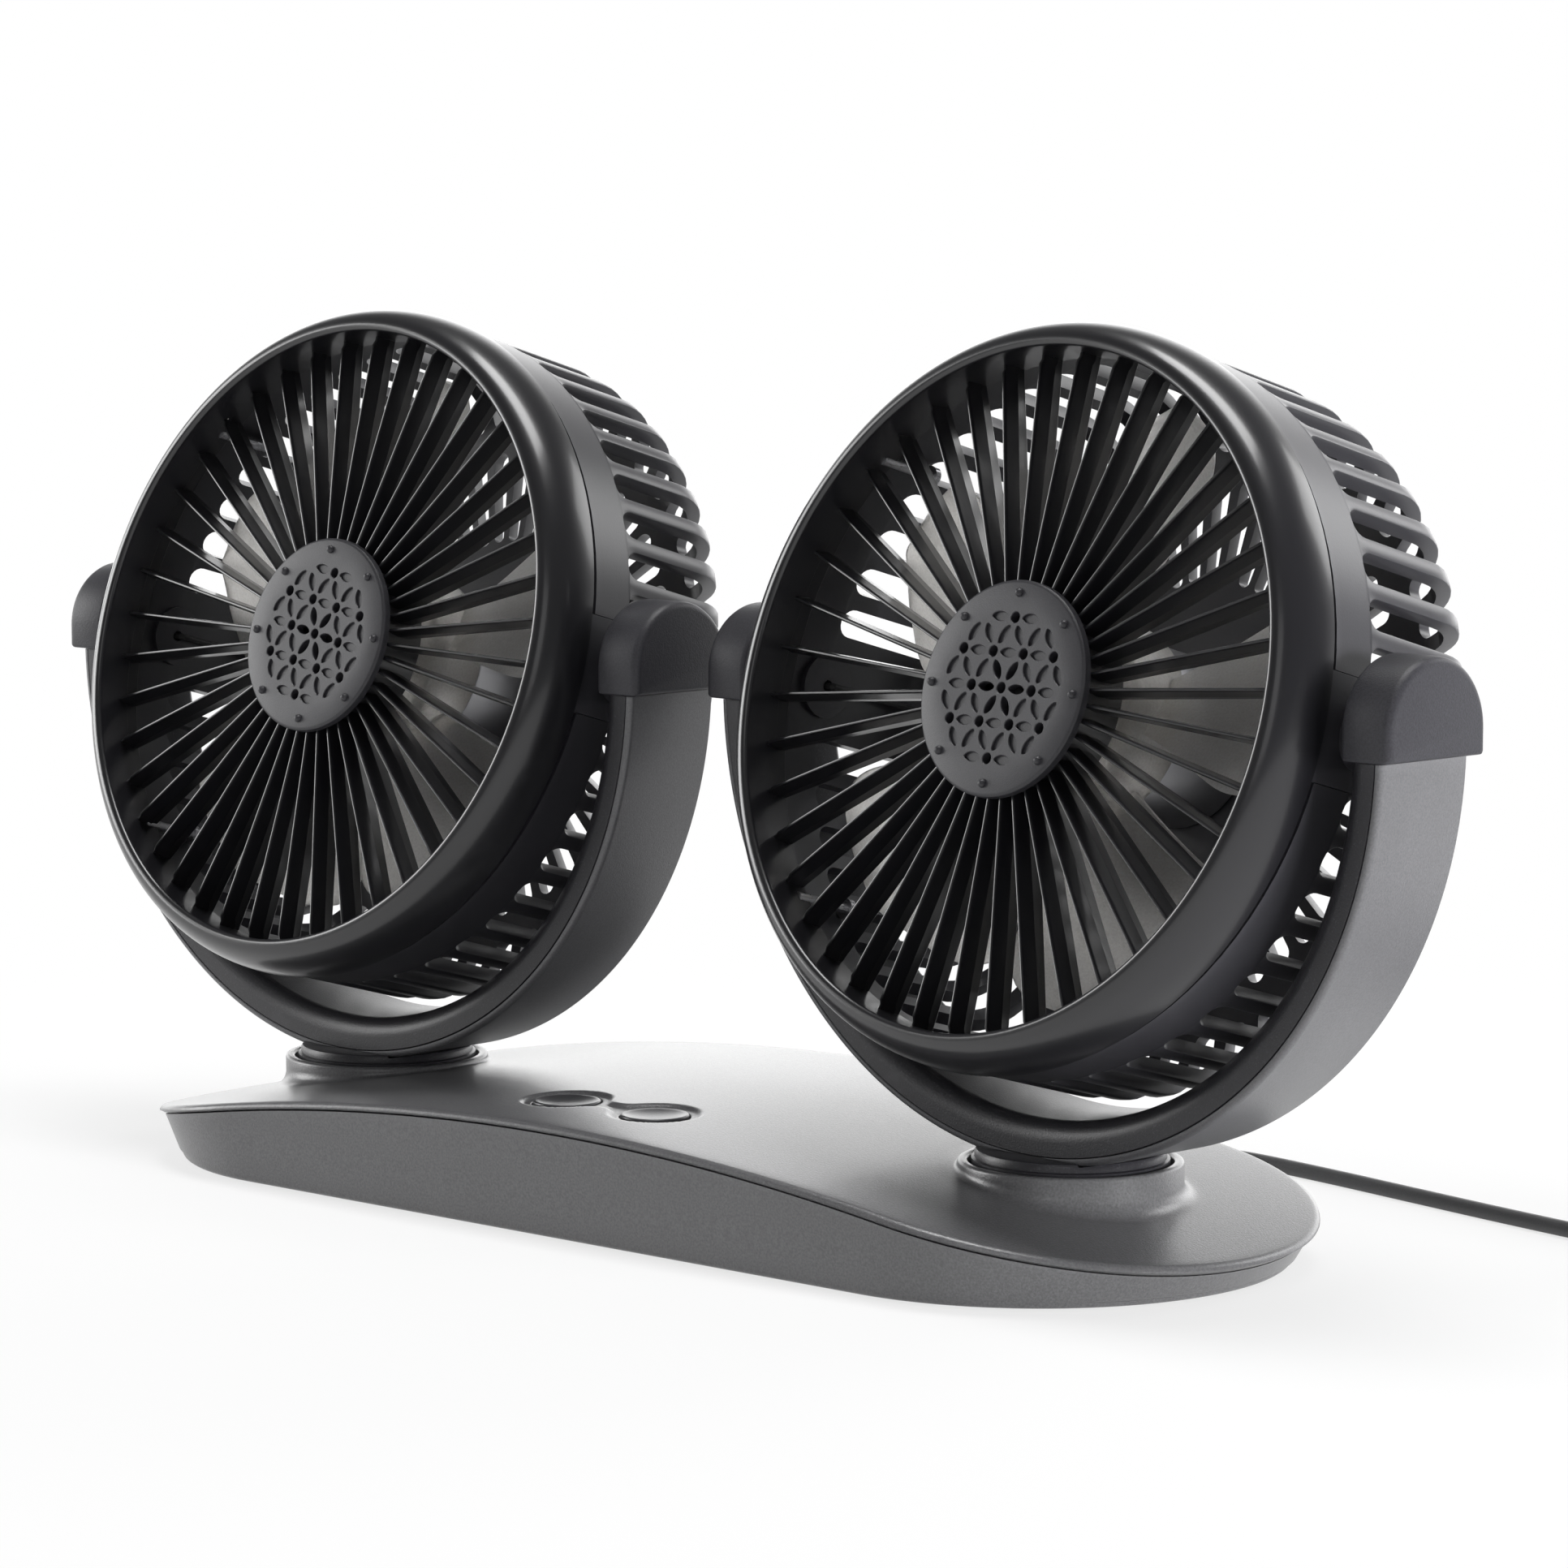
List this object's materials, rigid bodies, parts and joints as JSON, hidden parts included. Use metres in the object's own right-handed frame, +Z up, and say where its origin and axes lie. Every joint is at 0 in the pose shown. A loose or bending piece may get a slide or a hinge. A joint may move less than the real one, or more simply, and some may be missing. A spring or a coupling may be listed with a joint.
{
  "type": "dual-head car fan",
  "caption": "Twin-head car fan: two round grilled fans in U-shaped swivel yokes on one low arched base, with a plug-in lead.",
  "frame": {"origin": "middle of the grip pad's underside, on the surface the fan stands on", "axes": "+X along the base towards the right fan, +Y to the back, +Z up; the fans blow towards -Y"},
  "size_m": [0.3441, 0.1327, 0.1341],
  "materials": {
    "base_plastic": "satin dark grey moulding",
    "trim_plastic": "satin graphite moulding",
    "yoke_plastic": "fine-speckled charcoal moulding",
    "grille_plastic": "satin near-black moulding",
    "housing_plastic": "satin dark moulding",
    "plate_plastic": "satin dark grey moulding",
    "blade_plastic": "grained warm grey moulding",
    "button_plastic": "soft-gloss button cap",
    "switch_plastic": "plain black moulding",
    "grip_rubber": "matt grip pad",
    "cord_rubber": "matt soft sleeve",
    "cord_pvc": "matt cord jacket",
    "wire_pvc": "plain wire jacket",
    "tie_plastic": "plain strap",
    "plug_plastic": "satin moulded grip",
    "plug_steel": "plated plug shell",
    "screw_steel": "plated steel",
    "spring_steel": "spring steel",
    "shaft_steel": "ground steel",
    "motor_steel": "drawn motor can",
    "ballast_steel": "plain steel plate",
    "board": "lacquered circuit board"
  },
  "bodies": {
    "base": {"base_bottom_shell": "base_plastic", "base_top_shell": "base_plastic", "grip_pad": "grip_rubber", "base_screws": "screw_steel", "ballast_plate": "ballast_steel", "control_board": "board", "board_screws": "screw_steel", "button_switches": "switch_plastic", "cord_grommet": "cord_rubber", "cord_lead": "cord_pvc", "cord_coil": "cord_pvc", "cord_tail": "cord_pvc", "cord_tie": "tie_plastic", "usb_plug_body": "plug_plastic", "usb_plug_shell": "plug_steel"},
    "left_swivel": {"left_turntable": "trim_plastic", "left_swivel_nut": "screw_steel", "left_swivel_washer": "spring_steel", "left_yoke": "yoke_plastic", "left_yoke_cover": "trim_plastic", "left_yoke_screws": "screw_steel", "left_pivot_caps": "trim_plastic", "left_yoke_wire": "wire_pvc"},
    "left_head": {"left_grille": "grille_plastic", "left_hub_plate": "plate_plastic", "left_hub_rivets": "plate_plastic", "left_housing": "housing_plastic", "left_housing_screws": "screw_steel", "left_pivot_pads": "housing_plastic", "left_pivot_screws": "screw_steel", "left_motor": "motor_steel", "left_motor_screws": "screw_steel", "left_head_wire": "wire_pvc"},
    "left_fan": {"left_rotor": "blade_plastic", "left_rotor_shaft": "shaft_steel", "left_rotor_nut": "switch_plastic"},
    "left_key": {"left_button": "button_plastic"},
    "right_swivel": {"right_turntable": "trim_plastic", "right_swivel_nut": "screw_steel", "right_swivel_washer": "spring_steel", "right_yoke": "yoke_plastic", "right_yoke_cover": "trim_plastic", "right_yoke_screws": "screw_steel", "right_pivot_caps": "trim_plastic", "right_yoke_wire": "wire_pvc"},
    "right_head": {"right_grille": "grille_plastic", "right_hub_plate": "plate_plastic", "right_hub_rivets": "plate_plastic", "right_housing": "housing_plastic", "right_housing_screws": "screw_steel", "right_pivot_pads": "housing_plastic", "right_pivot_screws": "screw_steel", "right_motor": "motor_steel", "right_motor_screws": "screw_steel", "right_head_wire": "wire_pvc"},
    "right_fan": {"right_rotor": "blade_plastic", "right_rotor_shaft": "shaft_steel", "right_rotor_nut": "switch_plastic"},
    "right_key": {"right_button": "button_plastic"}
  },
  "joints": [
    {"name": "left_swivel_turn", "type": "hinge", "parent": "base", "child": "left_swivel", "pos_m": [-0.07, 0, 0.0153], "axis": [0, 0, 1], "range_deg": [-170, 170]},
    {"name": "left_tilt", "type": "hinge", "parent": "left_swivel", "child": "left_head", "pos_m": [-0.07, 0, 0.0795], "axis": [0.9998, -0.0175, 0], "range_deg": [-74, 105]},
    {"name": "left_fan_spin", "type": "hinge", "parent": "left_head", "child": "left_fan", "pos_m": [-0.07, 0, 0.0795], "axis": [-0.0168, -0.9639, 0.2656], "continuous": true},
    {"name": "right_swivel_turn", "type": "hinge", "parent": "base", "child": "right_swivel", "pos_m": [0.07, 0, 0.0153], "axis": [0, 0, 1], "range_deg": [-170, 170]},
    {"name": "right_tilt", "type": "hinge", "parent": "right_swivel", "child": "right_head", "pos_m": [0.07, 0, 0.0795], "axis": [0.9962, -0.0872, 0], "range_deg": [-74, 105]},
    {"name": "right_fan_spin", "type": "hinge", "parent": "right_head", "child": "right_fan", "pos_m": [0.07, 0, 0.0795], "axis": [-0.084, -0.9604, 0.2656], "continuous": true},
    {"name": "left_button_press", "type": "slide", "parent": "base", "child": "left_key", "axis": [0, 0, -1], "range_m": [0, 0.0008], "stiffness_N_per_m": 400, "springref_m": -0.0004},
    {"name": "right_button_press", "type": "slide", "parent": "base", "child": "right_key", "axis": [0, 0, -1], "range_m": [0, 0.0008], "stiffness_N_per_m": 400, "springref_m": -0.0004}
  ]
}
